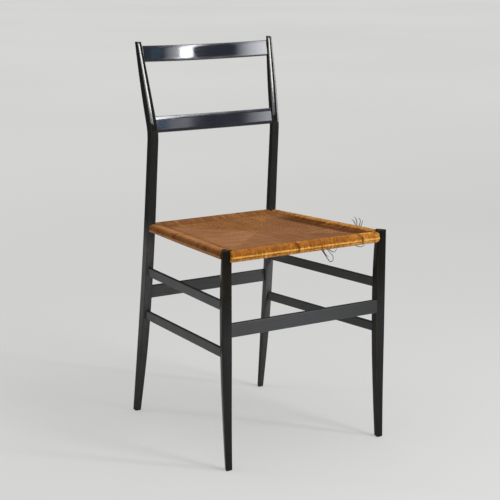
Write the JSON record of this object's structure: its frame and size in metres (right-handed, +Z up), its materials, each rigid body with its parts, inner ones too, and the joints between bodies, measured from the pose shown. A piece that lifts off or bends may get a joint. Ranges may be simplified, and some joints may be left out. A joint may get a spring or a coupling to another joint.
{
  "type": "dining side chair",
  "caption": "Light side chair with a black lacquered wooden frame, tapered triangular legs, two bowed back slats, slim stretchers and a woven cane seat.",
  "frame": {"origin": "On the floor, at the middle of the chair's overall width and depth.", "axes": "+Z up, the front of the seat faces -Y, left is -X as the picture shows it."},
  "size_m": [0.4016, 0.453, 0.83],
  "materials": {
    "lacquered_wood": "black lacquer, satin gloss, with faint grain and light wear",
    "bare_wood": "unfinished ash, hidden inside the woven edges",
    "wrapped_strands": "fine cane strands wound tightly round the rails, golden brown, slightly glossy",
    "woven_field": "fine cane strands in four mitred fields, matt brown"
  },
  "bodies": {
    "root": {"front_leg_left": "lacquered_wood", "front_leg_right": "lacquered_wood", "rear_leg_left": "lacquered_wood", "rear_leg_right": "lacquered_wood", "front_stretcher": "lacquered_wood", "back_stretcher": "lacquered_wood", "side_stretcher_upper_left": "lacquered_wood", "side_stretcher_upper_right": "lacquered_wood", "side_stretcher_lower_left": "lacquered_wood", "side_stretcher_lower_right": "lacquered_wood", "back_slat_upper": "lacquered_wood", "back_slat_lower": "lacquered_wood", "seat_rail_front": "bare_wood", "seat_rail_back": "bare_wood", "seat_rail_left": "bare_wood", "seat_rail_right": "bare_wood", "seat_wrap_front": "wrapped_strands", "seat_wrap_back": "wrapped_strands", "seat_wrap_left": "wrapped_strands", "seat_wrap_right": "wrapped_strands", "seat_top_front": "woven_field", "seat_top_back": "woven_field", "seat_top_left": "woven_field", "seat_top_right": "woven_field", "seat_underside_front": "woven_field", "seat_underside_back": "woven_field", "seat_underside_left": "woven_field", "seat_underside_right": "woven_field"}
  },
  "joints": []
}
